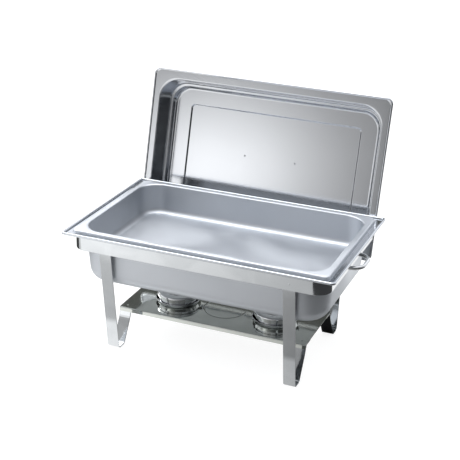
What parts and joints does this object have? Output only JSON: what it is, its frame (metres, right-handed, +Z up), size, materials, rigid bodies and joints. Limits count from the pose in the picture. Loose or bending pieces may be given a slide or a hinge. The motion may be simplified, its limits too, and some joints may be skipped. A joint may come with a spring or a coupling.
{
  "type": "chafing dish food warmer",
  "caption": "Open rectangular chafing dish on a strap stand with a fuel shelf, burners, water pan, food pan and a lid parked upright behind.",
  "frame": {"origin": "bottom centre of the bounding box at rest, on the surface that the feet stand on", "axes": "+X to the right along the pans, +Y to the back where the lid stands, +Z up"},
  "size_m": [0.592, 0.4742, 0.4937],
  "materials": {
    "satin_steel": "satin stainless sheet",
    "polished_steel": "half-polished stainless strap",
    "mirror_steel": "mirror-polished stainless",
    "chrome_rod": "polished round rod"
  },
  "bodies": {
    "stand": {"top_rail": "polished_steel", "leg_front_left": "polished_steel", "leg_front_right": "polished_steel", "leg_rear_left": "polished_steel", "leg_rear_right": "polished_steel", "fuel_shelf": "mirror_steel", "carry_handle_left": "chrome_rod", "carry_handle_right": "chrome_rod", "lid_clip_left": "polished_steel", "lid_clip_right": "polished_steel"},
    "water_pan": {"water_pan": "satin_steel"},
    "food_pan": {"food_pan": "satin_steel"},
    "lid": {"lid_shell": "satin_steel", "lid_handle": "polished_steel"},
    "burner_left": {"burner_saucer_left": "mirror_steel", "burner_cup_left": "mirror_steel"},
    "burner_cover_left": {"burner_cover_left": "mirror_steel", "shutter_pivot_left": "mirror_steel"},
    "burner_shutter_left": {"burner_shutter_left": "mirror_steel"},
    "burner_right": {"burner_saucer_right": "mirror_steel", "burner_cup_right": "mirror_steel"},
    "burner_cover_right": {"burner_cover_right": "mirror_steel", "shutter_pivot_right": "mirror_steel"},
    "burner_shutter_right": {"burner_shutter_right": "mirror_steel"}
  },
  "joints": [
    {"name": "water_pan_lift", "type": "slide", "parent": "stand", "child": "water_pan", "axis": [0, 0, 1], "range_m": [0, 0.2]},
    {"name": "food_pan_lift", "type": "slide", "parent": "water_pan", "child": "food_pan", "axis": [0, 0, 1], "range_m": [0, 0.2]},
    {"name": "lid_lift", "type": "slide", "parent": "stand", "child": "lid", "axis": [0.006, 0.2351, 0.972], "range_m": [0, 0.15]},
    {"name": "burner_slide_left", "type": "slide", "parent": "stand", "child": "burner_left", "axis": [0, -1, 0], "range_m": [0, 0.14]},
    {"name": "burner_cover_lift_left", "type": "slide", "parent": "burner_left", "child": "burner_cover_left", "axis": [0, 0, 1], "range_m": [0, 0.04]},
    {"name": "burner_shutter_swing_left", "type": "hinge", "parent": "burner_cover_left", "child": "burner_shutter_left", "pos_m": [-0.13558, -0.04236, 0.091], "axis": [0, 0, 1], "range_deg": [0, 100]},
    {"name": "burner_slide_right", "type": "slide", "parent": "stand", "child": "burner_right", "axis": [0, -1, 0], "range_m": [0, 0.14]},
    {"name": "burner_cover_lift_right", "type": "slide", "parent": "burner_right", "child": "burner_cover_right", "axis": [0, 0, 1], "range_m": [0, 0.04]},
    {"name": "burner_shutter_swing_right", "type": "hinge", "parent": "burner_cover_right", "child": "burner_shutter_right", "pos_m": [0.08142, -0.04236, 0.091], "axis": [0, 0, 1], "range_deg": [0, 100]}
  ]
}
